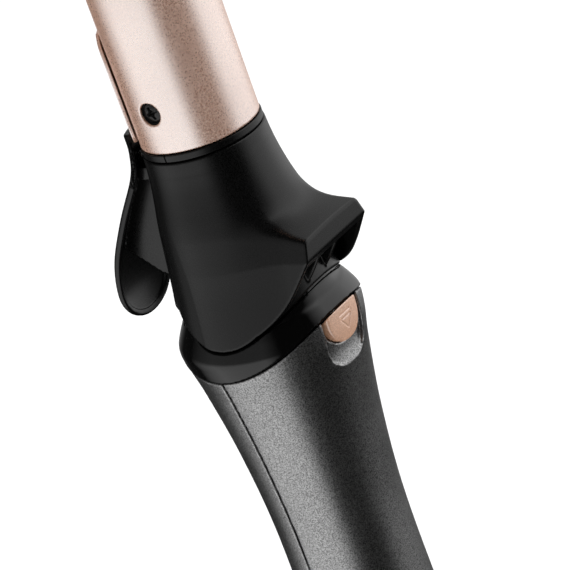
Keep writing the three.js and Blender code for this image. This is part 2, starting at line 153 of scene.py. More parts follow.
def resampled(outline, spacing):
    """The closed outline with points added so that no stretch is longer than the spacing."""
    result = []
    for a, b in zip(outline, np.roll(outline, -1, 0)):
        steps = max(1, math.ceil(np.linalg.norm(b - a) / spacing))
        result.extend(a + (b - a) * i / steps for i in range(steps))
    return np.array(result)


class Outline:
    """Signed distance to a closed outline in a plane, negative inside, read from a fine table."""

    def __init__(self, corners, step=0.25, margin=4.0):
        corners = np.array(corners, float)
        self.step = step
        self.low = corners.min(0) - margin
        self.count = np.ceil((corners.max(0) + margin - self.low) / step).astype(int) + 1
        u, v = (self.low[i] + step * np.arange(self.count[i]) for i in (0, 1))
        u, v = (grid.ravel() for grid in np.meshgrid(u, v, indexing="ij"))
        nearest = np.full(u.shape, np.inf)
        inside = np.zeros(u.shape, bool)
        for a, b in zip(corners, np.roll(corners, -1, 0)):
            du, dv = b - a
            length = du * du + dv * dv
            if length == 0:
                continue
            t = np.clip(((u - a[0]) * du + (v - a[1]) * dv) / length, 0, 1)
            nearest = np.minimum(nearest, (u - a[0] - t * du)**2 + (v - a[1] - t * dv)**2)
            if dv:
                crosses = (a[1] > v) != (b[1] > v)
                inside ^= crosses & (u < a[0] + (v - a[1]) * du / dv)
        distance = np.sqrt(nearest)
        self.table = np.where(inside, -distance, distance).reshape(self.count)

    def __call__(self, u, v):
        at_u = np.clip((u - self.low[0]) / self.step, 0, self.count[0] - 1.001)
        at_v = np.clip((v - self.low[1]) / self.step, 0, self.count[1] - 1.001)
        i, j = at_u.astype(int), at_v.astype(int)
        s, t = at_u - i, at_v - j
        low = self.table[i, j] * (1 - t) + self.table[i, j + 1] * t
        high = self.table[i + 1, j] * (1 - t) + self.table[i + 1, j + 1] * t
        return low * (1 - s) + high * s


class Curve:
    """A radius that depends on the height, along a smooth side line."""

    def __init__(self, side):
        order = np.argsort(side[:, 1])
        self.radius, self.height = side[order, 0], side[order, 1]

    def __call__(self, height):
        return np.interp(height, self.height, self.radius)


# ---------- fields ----------

def cut(a, b, soft=0.3):
    """What lies in both fields, with the edge between them rounded."""
    h = np.clip(0.5 + 0.5 * (a - b) / soft, 0, 1)
    return b + (a - b) * h + soft * h * (1 - h)


def join(a, b, soft=0.3):
    return -cut(-a, -b, soft)


def without(a, b, soft=0.3):
    return cut(a, -b, soft)


def rise(x, low, high):
    t = np.clip((x - low) / (high - low), 0, 1)
    return t * t * (3 - 2 * t)


def block(x, y, z, x0, x1, y0, y1, z0, z1):
    sides = np.maximum(np.abs(x - (x0 + x1) / 2) - (x1 - x0) / 2, np.abs(y - (y0 + y1) / 2) - (y1 - y0) / 2)
    return np.maximum(sides, np.abs(z - (z0 + z1) / 2) - (z1 - z0) / 2)


def rod(u, v, w, radius, low, high):
    """A round rod along w, between two places on it."""
    return np.maximum(np.hypot(u, v) - radius, np.abs(w - (low + high) / 2) - (high - low) / 2)


# ---------- meshes ----------

def steps(low, high, step):
    count = max(2, math.ceil((high - low) / step))
    return np.linspace(low, high, count + 1)


def surface_nets(field, axes):
    """Quads through the zero surface of a field, one point in each grid cell that the surface crosses."""
    values = field(*np.meshgrid(*axes, indexing="ij"))
    cells = np.array(values.shape) - 1
    total = np.zeros((cells.prod(), 3))
    count = np.zeros(cells.prod())
    quads = []
    for axis in range(3):
        first = np.delete(values, -1, axis)
        second = np.delete(values, 0, axis)
        at = np.argwhere((first < 0) != (second < 0))
        a, b = first[tuple(at.T)], second[tuple(at.T)]
        point = np.stack([axes[i][at[:, i]] for i in range(3)], 1)
        point[:, axis] += a / (a - b) * (axes[axis][at[:, axis] + 1] - axes[axis][at[:, axis]])
        u, v = (axis + 1) % 3, (axis + 2) % 3
        ring = []
        for du, dv in ((0, 0), (-1, 0), (-1, -1), (0, -1)):
            cell = at.copy()
            cell[:, u] += du
            cell[:, v] += dv
            ring.append(np.ravel_multi_index(cell.T, cells))
        ring = np.stack(ring, 1)
        ring[a > 0] = ring[a > 0][:, ::-1]
        for corner in ring.T:
            count += np.bincount(corner, minlength=len(count))
            for i in range(3):
                total[:, i] += np.bincount(corner, weights=point[:, i], minlength=len(count))
        quads.append(ring)
    used = np.flatnonzero(count)
    number = np.zeros(len(count), int)
    number[used] = np.arange(len(used))
    return total[used] / count[used, None], number[np.vstack(quads)]


def settled(field, points, limit, rounds=3, reach=0.02):
    """The points moved onto the zero surface of the field, each by no more than the limit."""
    for _ in range(rounds):
        value = field(*points.T)
        slope = np.stack([
            (field(*(points + step).T) - field(*(points - step).T)) / (2 * reach)
            for step in np.eye(3) * reach
        ], 1)
        move = -(value / np.maximum((slope**2).sum(1), 0.25))[:, None] * slope
        length = np.linalg.norm(move, axis=1, keepdims=True)
        points = points + move * np.minimum(1, limit / np.maximum(length, 1e-9))
    return points


def relaxed(points, quads, amount=0.5):
    """The points drawn towards the middle of their neighbours."""
    edges = np.vstack([quads[:, [i, (i + 1) % 4]] for i in range(4)])
    edges = np.vstack([edges, edges[:, ::-1]])
    count = np.bincount(edges[:, 0], minlength=len(points))
    middle = np.stack([
        np.bincount(edges[:, 0], weights=points[edges[:, 1], i], minlength=len(points)) / count
        for i in range(3)
    ], 1)
    return points + (middle - points) * amount


def isosurface(field, axes):
    points, quads = surface_nets(field, axes)
    limit = min(axis[1] - axis[0] for axis in axes)
    for _ in range(2):
        points = settled(field, points, limit, rounds=1)
        points = relaxed(points, quads)
    return settled(field, points, limit), quads


def lathe(section, segments=128):
    """A closed section of [radius, height] points turned about the axis."""
    section = np.array(section, float)
    if np.sum(section[:, 0] * np.roll(section[:, 1], -1) - np.roll(section[:, 0], -1) * section[:, 1]) < 0:
        section = section[::-1]
    angle = np.arange(segments) * 2 * math.pi / segments
    radius, height = section.T
    points = np.stack([
        np.outer(np.cos(angle), radius),
        np.outer(np.sin(angle), radius),
        np.outer(np.ones(segments), height),
    ], 2).reshape(-1, 3)
    i, j = np.meshgrid(np.arange(segments), np.arange(len(section)), indexing="ij")
    after_i, after_j = (i + 1) % segments, (j + 1) % len(section)
    corners = [(i, j), (after_i, j), (after_i, after_j), (i, after_j)]
    quads = np.stack([(a * len(section) + b).ravel() for a, b in corners], 1)
    return points, quads


def turned(points, axis_y, axis_z):
    """Points drawn about the Z axis, moved so that their axis runs along +Y at x = 0 and the given height."""
    x, y, z = points.T
    return np.stack([x, z + axis_y, -y + axis_z], 1)


def piece(name, mesh, material, body, slot, *nodes):
    """Puts a mesh in the frame as a named piece that rides on a body and stands for CAD nodes."""
    points, quads = mesh
    data = bpy.data.meshes.new(name)
    data.vertices.add(len(points))
    data.vertices.foreach_set("co", (points * MM + AXIS).astype(np.float32).ravel())
    data.loops.add(quads.size)
    data.loops.foreach_set("vertex_index", quads.astype(np.int32).ravel())
    data.polygons.add(len(quads))
    data.polygons.foreach_set("loop_start", np.arange(len(quads), dtype=np.int32) * 4)
    data.polygons.foreach_set("use_smooth", np.ones(len(quads), bool))
    data.update(calc_edges=True)
    data.validate()
    data.materials.append(material)
    thing = bpy.data.objects.new(name, data)
    bpy.context.scene.collection.objects.link(thing)
    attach(thing, body)
    if nodes:
        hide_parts(*nodes)
    return thing


# ---------- materials ----------

class Nodes:
    """A short way to build a node tree: add a node, set its inputs, link its output."""

    def __init__(self, tree):
        self.tree = tree

    def add(self, kind, **settings):
        node = self.tree.nodes.new(kind)
        for key, value in settings.items():
            setattr(node, key, value)
        return node

    def link(self, source, target):
        self.tree.links.new(source, target)

    def noise(self, scale, detail=2.0, roughness=0.5):
        place = self.add("ShaderNodeTexCoord")
        texture = self.add("ShaderNodeTexNoise")
        texture.inputs["Scale"].default_value = scale
        texture.inputs["Detail"].default_value = detail
        texture.inputs["Roughness"].default_value = roughness
        self.link(place.outputs["Object"], texture.inputs["Vector"])
        return texture.outputs["Fac"]

    def ranged(self, value, from_low, from_high, to_low, to_high):
        node = self.add("ShaderNodeMapRange")
        limits = {"From Min": from_low, "From Max": from_high, "To Min": to_low, "To Max": to_high}
        for key, number in limits.items():
            node.inputs[key].default_value = number
        self.link(value, node.inputs["Value"])
        return node.outputs["Result"]

    def ramp(self, value, stops):
        node = self.add("ShaderNodeValToRGB")
        elements = node.color_ramp.elements
        while len(elements) < len(stops):
            elements.new(0.5)
        for element, (position, color) in zip(elements, stops):
            element.position = position
            element.color = (*color, 1)
        self.link(value, node.inputs["Fac"])
        return node.outputs["Color"]


def finish(name, dark, light, roughness, metallic=0.0, grain=0.5, size=0.3, bump=0.02, index=1.5):
    """A moulded, painted or metal surface: two tones in a fine grain, with its own roughness and relief.

    size is the grain's size and bump its height, both in millimetres. A low grain keeps the two tones apart.
    """
    made = bpy.data.materials.new(name)
    made.use_nodes = True
    nodes = Nodes(made.node_tree)
    shader = made.node_tree.nodes["Principled BSDF"]
    shader.inputs["Metallic"].default_value = metallic
    shader.inputs["IOR"].default_value = index
    fine = nodes.noise(1 / (size * MM), detail=3.0, roughness=0.7)
    broad = nodes.noise(60.0)
    spread = 0.5 * grain
    tones = nodes.ramp(fine, [(0.5 - spread / 2, dark), (0.5 + spread / 2, light)])
    nodes.link(tones, shader.inputs["Base Color"])
    mottle = nodes.add("ShaderNodeMath", operation="ADD")
    nodes.link(nodes.ranged(fine, 0.3, 0.7, -0.05, 0.05), mottle.inputs[0])
    nodes.link(nodes.ranged(broad, 0.3, 0.7, roughness - 0.02, roughness + 0.02), mottle.inputs[1])
    nodes.link(mottle.outputs[0], shader.inputs["Roughness"])
    relief = nodes.add("ShaderNodeBump")
    relief.inputs["Strength"].default_value = 0.4
    relief.inputs["Distance"].default_value = bump * MM
    nodes.link(fine, relief.inputs["Height"])
    nodes.link(relief.outputs["Normal"], shader.inputs["Normal"])
    return made


def grey(value):
    return (value, value, value)


ROSE_GOLD = finish(
    "rose_gold_coating", (0.48, 0.20, 0.11), (1.0, 0.62, 0.45), 0.3,
    grain=0.7, size=0.45, bump=0.004, index=7.5,
)
COPPER = finish(
    "copper_lacquer", (0.45, 0.21, 0.11), (0.72, 0.42, 0.27), 0.36, size=0.3, bump=0.003, index=3.0,
)
SATIN_BLACK = finish("satin_black_plastic", grey(0.0008), grey(0.002), 0.3, size=0.5, bump=0.004, index=1.42)
TIP_BLACK = finish("tip_black_plastic", grey(0.003), grey(0.006), 0.38, size=0.3, bump=0.006)
GLOSS_BLACK = finish("gloss_black_plastic", grey(0.0006), grey(0.0012), 0.07, size=0.8, bump=0.0005)
GRAPHITE = finish(
    "graphite_paint", grey(0.13), grey(0.5), 0.34, metallic=1.0, grain=0.5, size=0.36, bump=0.01,
)
SCREW_BLACK = finish("black_oxide_steel", grey(0.01), grey(0.02), 0.22, metallic=0.4, size=0.3, bump=0.003)
STEEL = finish("bright_steel", grey(0.42), grey(0.55), 0.3, metallic=1.0, size=0.4, bump=0.004)
BRASS = finish("brass", (0.5, 0.33, 0.1), (0.66, 0.46, 0.17), 0.32, metallic=1.0, size=0.4, bump=0.004)
ALUMINIUM = finish("cast_aluminium", grey(0.45), grey(0.62), 0.42, metallic=1.0, size=0.5, bump=0.02)
CERAMIC = finish("ceramic", (0.7, 0.67, 0.6), (0.8, 0.78, 0.72), 0.7, size=0.4, bump=0.01)
INNER_PLASTIC = finish("inner_plastic", grey(0.012), grey(0.02), 0.5, size=0.6, bump=0.01)
BOARD = finish("board_laminate", (0.01, 0.07, 0.035), (0.02, 0.11, 0.055), 0.45, size=0.6, bump=0.01)
LENS = finish("milky_lens", (0.62, 0.68, 0.7), (0.72, 0.77, 0.79), 0.15, size=0.8, bump=0.001)

CAD_FINISHES = {
    "barrel_coating": ROSE_GOLD,
    "neck_plastic": SATIN_BLACK,
    "tip_plastic": TIP_BLACK,
    "collar_plastic": GLOSS_BLACK,
    "handle_coating": GRAPHITE,
    "base_plastic": TIP_BLACK,
    "button_coating": COPPER,
    "power_plastic": TIP_BLACK,
    "black_screw": SCREW_BLACK,
    "steel": STEEL,
    "inner_plastic": INNER_PLASTIC,
    "brass": BRASS,
    "aluminium": ALUMINIUM,
    "ceramic_strip": CERAMIC,
    "board": BOARD,
    "lens": LENS,
}


def dress_cad_nodes():
    for part in frame["record"]["subparts"]:
        thing = frame["nodes"][part["node"]]
        thing.data.materials.clear()
        thing.data.materials.append(CAD_FINISHES[part["material_slot"]])


# ---------- barrel ----------

def barrel_field(x, y, z):
    r = np.hypot(x, y)
    wall = np.abs(r - (BARREL_RADIUS - BARREL_WALL / 2)) - BARREL_WALL / 2
    middle = (BARREL_TOP + RIM_GAP) / 2
    tube = cut(wall, np.abs(z - middle) - (BARREL_TOP - RIM_GAP) / 2, 0.25)
    hole = np.hypot(y, z - SCREW_HEIGHT) - SCREW_HOLE
    return without(tube, hole, 0.3)


def build_barrel():
    across = steps(-17, 17, 0.36)
    low = steps(-1, 18, 0.36)
    high = steps(18, 126, 2.0)[1:]
    top = steps(126, 129, 0.3)[1:]
    mesh = isosurface(barrel_field, (across, across, np.concatenate([low, high, top])))
    piece("barrel_sleeve", mesh, ROSE_GOLD, "head", "barrel_coating", "barrel_tube")


def screw_field(x, y, z):
    """A pan head along +X with a cross recess, its rim at 0."""
    dome = np.sqrt((x + 6.2)**2 + y**2 + z**2) - 6.9
    head = cut(np.maximum(np.hypot(y, z) - 2.75, -1.2 - x), dome, 0.3)
    reach = 1.65 + 0.5 * x
    width = 0.34 + 0.12 * x
    for across, along in ((y, z), (z, y)):
        slot = np.maximum(np.maximum(np.abs(across) - width, np.abs(along) - reach), -0.75 - x)
        head = without(head, slot, 0.14)
    heart = np.maximum(np.hypot(y, z) - 0.75 - 0.4 * x, -0.9 - x)
    return without(head, heart, 0.15)


def screw_head(step):
    across = steps(-3.1, 3.1, step)
    return isosurface(screw_field, (steps(-1.6, 1.2, step), across, across))


def build_barrel_screws():
    points, quads = screw_head(0.11)
    for side, name in ((-1, "left"), (1, "right")):
        turn = math.radians(20)
        x, y, z = points.T
        y, z = y * math.cos(turn) - z * math.sin(turn), y * math.sin(turn) + z * math.cos(turn)
        placed = (np.stack([side * (x + SCREW_SEAT), side * y, z + SCREW_HEIGHT], 1), quads)
        piece(f"cross_screw_{name}", placed, SCREW_BLACK, "head", "black_screw", f"barrel_screw_{name}")


def ring_field(x, y, z):
    r = np.hypot(x, y)
    band = cut(np.abs(r - 15.65) - 0.65, np.abs(z + 1.12) - 0.95, 0.2)
    split = np.maximum(np.abs(y) - 0.13, x)
    return without(band, split, 0.12)


def build_rim_ring():
    across = steps(-17, 17, 0.2)
    mesh = isosurface(ring_field, (across, across, steps(-2.6, 0.4, 0.2)))
    piece("split_rim_ring", mesh, SATIN_BLACK, "head", "neck_plastic", "rim_ring")


def build_tip():
    dome = spline([(16.0, 136), (15.6, 142), (13.6, 147.4), (9, TIP_TOP - 0.4), (NEAR_AXIS, TIP_TOP)], 8)
    outside = joined((13.0, BARREL_TOP + GAP), (15.6, BARREL_TOP + GAP), (16.0, BARREL_TOP + 0.7), dome)
    inside = [(NEAR_AXIS, 146), (9, 145.4), (13, 140)]
    section = resampled(joined(outside, inside), 1.0)
    piece("cool_tip", lathe(section, 96), TIP_BLACK, "head", "tip_plastic", "tip_cap")


# ---------- neck and foot ----------

NECK_SIDE = spline([(16.5, -2.4), (17.1, -10), (18.7, -20), (20, -30), (21.3, -40), (23.5, -53.3)])
FLARE = spline([(16.4, -7), (17.0, -11), (18.4, -17), (21.5, -22.8), (27, -26), (35, -27.9), (42, -29)])
neck_solid = Outline(joined((-6, -2.35), NECK_SIDE, (24, -60), (-6, -60)))
neck_hollow = Outline(joined(
    (-6, 6), (15, 6), (15, -12.2), NECK_SIDE[60:96] - (SHELL_WALL, 0), (20.7, -43), (21.6, -66), (-6, -66),
))
flare_solid = Outline(joined((-6, -7), FLARE, (42, -62), (-6, -62)))
rim_line = Outline(joined(
    (60, 12), (-60, 12), (-60, FOOT_BOTTOM), (FOOT_END, FOOT_BOTTOM),
    spline([(-30.6, -33.6), (-29, -35.7), (-24.9, -40.8), (-21.2, -44.7), (-17.4, -47.7), (-13.6, -49.9)], 8),
    arc((TONGUE_Y, TONGUE_Z), TONGUE_RADIUS, 236, 331, 60),
    (60, NECK_EDGE),
))


def foot_half(z):
    """The foot's sides lean outwards on their way down, less so below the end face."""
    below = FOOT_BOTTOM - z
    return FOOT_HALF + np.where(below < 0, 0.36, 0.2) * below


def foot_field(x, y, z, r, neck):
    """The solid foot: a leaning tongue that sweeps into the neck's sides, under the trumpet flare."""
    side = (np.abs(x) - foot_half(z)) / 1.06
    tongue = join(np.maximum(side, y + 3), neck, FOOT_SWEEP)
    ridge = 1.2 + 1.3 * rise(y, FOOT_END, -17)
    return cut(cut(tongue, flare_solid(r, z), ridge), FOOT_END - y, 0.7)


def neck_field(x, y, z):
    r = np.hypot(x, y)
    neck = neck_solid(r, z)
    foot = foot_field(x, y, z, r, neck)
    rim = rim_line(y, z)
    shell = join(neck, foot, 1.2)
    room = cut(foot + FOOT_WALL, -0.4 - neck, 0.4)
    shell = without(without(shell, neck_hollow(r, z), 0.3), room, 0.5)
    rib = np.maximum(np.maximum(np.abs(np.abs(x) - RIB_PLACE) - RIB_HALF, foot + 0.6), -neck - 1)
    shell = join(shell, cut(rib, rim + 1.1, 0.3), 0.4)
    shell = cut(shell, rim, 0.45)
    eye = rod(y - PIN_Y, z - PIN_Z, x, LUG_RADIUS, -LUG_OUTER, LUG_OUTER)
    stem = block(x, y, z, -LUG_OUTER, LUG_OUTER, 13.4, PIN_Y, PIN_Z - LUG_RADIUS, PIN_Z + LUG_RADIUS)
    lugs = np.maximum(join(eye, stem, 0.3), 15 - r)
    shell = join(shell, lugs, 0.6)
    slot_middle = (CHEEK_INNER + CHEEK_OUTER) / 2
    slot_half = (CHEEK_OUTER - CHEEK_INNER) / 2 + GAP
    near, far = slot_middle - slot_half, slot_middle + slot_half
    slot = block(np.abs(x), y, z, near, far, 9, 30, CHEEK_SLOT_BOTTOM, PIN_Z + 3)
    shell = without(shell, slot, 0.3)
    window = block(x, y, z, -LUG_INNER, LUG_INNER, 12, 22, PIN_Z - 3, PIN_Z + 3)
    pin = rod(y - PIN_Y, z - PIN_Z, x, PIN_HOLE, -PIN_HOLE_END, PIN_HOLE_END)
    return without(without(shell, window, 0.3), pin, 0.12)


def build_neck():
    step = 0.42
    across = steps(-25, 25, step)
    mesh = isosurface(neck_field, (across, steps(-34, 25, step), steps(-56, -1, step)))
    piece("neck_housing", mesh, SATIN_BLACK, "head", "neck_plastic", "neck_shell")


# ---------- clamp ----------

def plate_lift(z):
    return PLATE_LIFT * rise(z, LIFT_START, PLATE_HIGH)


def plate_outline():
    """The clamp plate unrolled: wide below the shoulder, narrowing to a round point."""
    corner = 4.5
    shoulder = [
        (ROOT_HALF, 10), (ROOT_HALF, 25.4), ((ROOT_HALF + BLADE_HALF) / 2, 30.6), (BLADE_HALF, 34.5),
        (BLADE_HALF, 60),
    ]
    right = joined(
        arc((ROOT_HALF - corner, PLATE_LOW + corner), corner, -90, 0, 12),
        spline(shoulder, 10),
        (BLADE_HALF, 118),
        arc((0, PLATE_HIGH - POINT_RADIUS), POINT_RADIUS, 0, 90, 16),
    )
    left = right[::-1] * (-1, 1)
    return Outline(joined(right, left))


plate_shape = plate_outline()


def plate_field(x, y, z):
    centre = y - plate_lift(z)
    r = np.hypot(x, centre)
    middle = PLATE_INNER + PLATE_THICKNESS / 2
    around = np.arctan2(x, centre) * middle
    shape = plate_shape(around, z)
    tab = np.maximum(np.abs(x) - 5, np.abs(z) - 3)
    shape = np.where(np.abs(z) < 3, join(shape, tab, 0.5), shape)
    sheet = cut(np.abs(r - middle) - PLATE_THICKNESS / 2, shape, 0.3)
    return np.where(centre < 0, 9.0, sheet)


def build_plate():
    low = steps(-3, 38, 0.3)
    high = steps(38, 120, 1.6)[1:]
    top = steps(120, 140, 0.35)[1:]
    axes = (steps(-15.5, 15.5, 0.3), steps(8, 21, 0.27), np.concatenate([low, high, top]))
    piece("clamp_blade", isosurface(plate_field, axes), ROSE_GOLD, "clamp", "barrel_coating", "clamp_plate")


LEVER_LINE = spline([
    (19.9, 14), (20.1, 3), (20.6, -2), (23.2, -8.5), (31.4, -20), (39.2, -33), (42.4, -44), (41.8, -54),
    (39, -64),
])
lever_side = Outline(joined(LEVER_LINE, (0, -64), (0, 14)))


def lever_outline():
    """The lever seen from outside: straight at its root, wider and round at the paddle."""
    right = joined(
        (LEVER_ROOT, 14), (LEVER_ROOT, -8),
        spline([(LEVER_ROOT, -12), (10.3, -20), (10.8, -32), (LEVER_PADDLE, -40)], 8),
        arc((0, -43.3), LEVER_PADDLE, 0, -90, 24),
    )
    left = right[::-1] * (-1, 1)
    return Outline(joined(right, left))


lever_shape = lever_outline()
cheek_shape = Outline(rounded(
    [(17, -5.6), (19.4, -4), (23.2, -10.4), (29.4, -19), (36.5, -31.9), (26, -39.6), (22.7, -41), (21.6, -38),
     (19.2, -31.4), (16.9, -11.5)], 0.8,
))


def lever_field(x, y, z):
    bend = 20 + 6 * rise(-z, 2, 36)
    inward = bend - np.sqrt(bend**2 - np.minimum(np.abs(x), 14)**2)
    depth = lever_side(y, z) + inward
    shape = lever_shape(x, z)
    plate = cut(np.abs(depth + LEVER_THICKNESS / 2) - LEVER_THICKNESS / 2, shape, 0.8)
    plate = cut(plate, z - 3.2, 0.4)
    recess = cut(depth + LEVER_THICKNESS - 0.6, shape + 1.7, 0.25)
    plate = without(plate, recess, 0.3)
    wall = np.abs(np.abs(x) - (CHEEK_INNER + CHEEK_OUTER) / 2) - (CHEEK_OUTER - CHEEK_INNER) / 2
    cheek = cut(cheek_shape(y, z), wall, 0.4)
    eye = cut(np.hypot(y - PIN_Y, z - PIN_Z) - CHEEK_RADIUS, wall, 0.3)
    lever = join(plate, join(cheek, eye, 0.3), 0.7)
    room = rod(y - PIN_Y, z - PIN_Z, np.abs(x), LUG_RADIUS + GAP, LUG_INNER - GAP, LUG_OUTER + GAP)
    lever = without(lever, room, 0.2)
    for side in (-1, 1):
        hole = rod(x - side * RIVET_PLACE, z - RIVET_HEIGHT, y, PIN_HOLE, 14, 24)
        lever = without(lever, hole, 0.15)
    return without(lever, rod(y - PIN_Y, z - PIN_Z, x, PIN_HOLE, -8, 8), 0.15)


def build_lever():
    step = 0.4
    axes = (steps(-12.4, 12.4, step), steps(14.5, 44, step), steps(-56, 5, step))
    piece("thumb_lever", isosurface(lever_field, axes), SATIN_BLACK, "clamp", "neck_plastic", "clamp_lever")


def build_rivets():
    head = [(NEAR_AXIS, 21.3), (0.9, 21.24), (1.5, 21.0), (1.7, 20.7), (1.0, 20.65)]
    shank = [(1.0, 16.5), (NEAR_AXIS, 16.5)]
    for side, name in ((-1, "left"), (1, "right")):
        points, quads = lathe(resampled(np.array(head + shank), 0.4), 32)
        points = turned(points, 0, RIVET_HEIGHT) + (side * RIVET_PLACE, 0, 0)
        piece(f"rivet_{name}", (points, quads), STEEL, "clamp", "steel", f"clamp_rivet_{name}")


# ---------- handle ----------

HANDLE_SIDE = spline([
    (25.5, -51), (24.9, -60), (23, -70), (20.2, -90), (18.4, -115), (18.5, -145), (19.7, -175), (20.2, -199),
])
handle_radius = Curve(HANDLE_SIDE)
handle_section = Outline(joined(HANDLE_SIDE, HANDLE_SIDE[::-1] - (HANDLE_WALL, 0)), step=0.3)
collar_section = Outline(joined(
    spline([
        (20.8, -44.6), (21.2, -48.3), (22.4, -50.3), (24.3, -53.6), (25.4, -56.2), (25.3, -59), (24.7, -63),
    ], 10),
    (19.6, -63), (19.6, -50.6), (11.5, -50.6), (11.5, -47.6), (18, -47.6), (18, -44.6),
), step=0.2)


def tab_outline(half, bottom):
    """Straight above and round below, in X and Z."""
    right = joined(
        (half, -40), (half, bottom + 8.2),
        spline([(half, bottom + 8.0), (half * 0.965, bottom + 5.4), (half * 0.8, bottom + 2.6),
                (half * 0.46, bottom + 0.6), (0, bottom)], 10),
    )
    left = right[::-1] * (-1, 1)
    return Outline(joined(right, left))


button_shape = tab_outline(BUTTON_HALF, BUTTON_BOTTOM)
scoop_shape = tab_outline(SCOOP_HALF, SCOOP_BOTTOM)


def seam_distance(y, z):
    """Negative above the curved seam between collar and handle."""
    return np.where(z > SEAM_Z, np.abs(y - SEAM_Y), np.hypot(y - SEAM_Y, z - SEAM_Z)) - SEAM_RADIUS


def collar_field(x, y, z):
    r = np.hypot(x, y)
    body = cut(collar_section(r, z), seam_distance(y, z), 0.4)
    return without(body, cut(rim_line(y, z) - 0.4, 20.4 - r, 0.3), 0.35)


def build_collar():
    step = 0.42
    across = steps(-26.5, 26.5, step)
    mesh = isosurface(collar_field, (across, across, steps(-64, -43, step)))
    piece("collar_band", mesh, GLOSS_BLACK, "handle", "collar_plastic", "collar")


def handle_body(r, y, z):
    return cut(handle_section(r, z), GAP - seam_distance(y, z), 0.35)


def handle_front_field(x, y, z):
    r = np.hypot(x, y)
    body = cut(handle_body(r, y, z), y - PARTING + PARTING_GAP, 0.2)
    fade = np.clip((-60 - z) / (-60 - SCOOP_BOTTOM), 0, 1)
    floor = handle_radius(z) - SCOOP_DEPTH * (1 - fade**2) - 0.15
    scoop = cut(scoop_shape(x, z), floor - r, 0.5)
    body = without(body, np.maximum(scoop, y + 12), 0.25)
    hole = np.maximum(button_shape(x, z) - GAP, y + 12)
    return without(body, hole, 0.2)


def handle_rear_field(x, y, z):
    r = np.hypot(x, y)
    body = cut(handle_body(r, y, z), PARTING + PARTING_GAP - y, 0.2)
    for height in HANDLE_SCREWS:
        away = np.hypot(x, z - height)
        post = np.maximum(away - POST_RADIUS, np.maximum(PARTING + 0.2 - y, y - 16))
        body = join(body, post, 0.4)
        body = without(body, np.maximum(away - WELL_RADIUS, 8 - y), 0.4)
        body = without(body, away - SHANK_HOLE, 0.2)
    power = np.maximum(np.hypot(x, z - POWER_HEIGHT) - POWER_HOLE, 10 - y)
    lens = np.maximum(np.hypot(x, z - LENS_HEIGHT) - LENS_HOLE, 10 - y)
    return without(without(body, power, 0.5), lens, 0.25)


def build_handle():
    step = 0.42
    across = steps(-26.5, 26.5, step)
    heights = np.concatenate([steps(-201, -76, 0.95), steps(-76, -46, step)[1:]])
    front = isosurface(handle_front_field, (across, steps(-26.5, 2.2, step), heights))
    piece("handle_shell_front", front, GRAPHITE, "handle", "handle_coating", "handle_front")
    heights = np.concatenate([steps(-201, -125, 0.8), steps(-125, -86, 0.5)[1:], steps(-86, -46, 0.6)[1:]])
    rear = isosurface(handle_rear_field, (across, steps(0.4, 26.5, step), heights))
    piece("handle_shell_rear", rear, GRAPHITE, "handle", "handle_coating", "handle_rear")


def build_handle_screws():
    points, quads = screw_head(0.14)
    for index, height in enumerate(HANDLE_SCREWS, 1):
        x, y, z = points.T
        placed = (np.stack([-y, x + 9.6, z + height], 1), quads)
        piece(f"shell_screw_{index}", placed, STEEL, "handle", "steel", f"handle_screw_{index}")


def build_base():
    corners = [
        (GLAND_BORE, HANDLE_END), (18.2, HANDLE_END), (19.6, -203.6), (20.2, -201), (20.2, -199.4),
        (17.2, -199.4), (17.2, -196), (14.5, -196), (14.5, -200.5), (GLAND_BORE, -200.5),
    ]
    section = resampled(rounded(corners, 0.5), 1.0)
    piece("end_ring", lathe(section), TIP_BLACK, "handle", "base_plastic", "base_ring")
    corners = [
        (3.2, -204.6), (8.6, -204.6), (8.6, -200.2), (11.5, -200.2), (11.5, -197.5), (7, -197.5), (7, -193),
        (5.5, -193), (5.5, -184), (3.2, -184),
    ]
    section = resampled(rounded(corners, 0.4), 1.0)
    piece("cord_gland", lathe(section, 96), TIP_BLACK, "gland", "base_plastic", "swivel_gland")


# ---------- buttons ----------

def line_distance(u, v, a, b):
    """Distance to a straight line between two places."""
    du, dv = b[0] - a[0], b[1] - a[1]
    t = np.clip(((u - a[0]) * du + (v - a[1]) * dv) / (du * du + dv * dv), 0, 1)
    return np.hypot(u - a[0] - t * du, v - a[1] - t * dv)


def release_mark(x, z):
    """A plain release sign: a bar over an open triangle."""
    strokes = [((-2.2, -54.6), (2.2, -54.6)), ((-2.2, -55.9), (2.2, -55.9)),
               ((-2.2, -55.9), (0, -59.0)), ((2.2, -55.9), (0, -59.0))]
    return np.minimum.reduce([line_distance(x, z, a, b) for a, b in strokes])


def button_field(x, y, z):
    r = np.hypot(x, y)
    face = r - handle_radius(z) - 0.12
    face = face + 0.22 * np.exp(-(release_mark(x, z) / 0.2)**2)
    cap = cut(button_shape(x, z), face, 0.7)
    cap = cut(cap, BUTTON_GAP - seam_distance(y, z), 0.5)
    return np.maximum(cap, y + 21.8)


def build_release_button():
    step = 0.16
    axes = (steps(-7.4, 7.4, step), steps(-26.4, -21, step), steps(-63.2, -49.5, step))
    mesh = isosurface(button_field, axes)
    piece("release_key", mesh, COPPER, "release", "button_coating", "release_button")


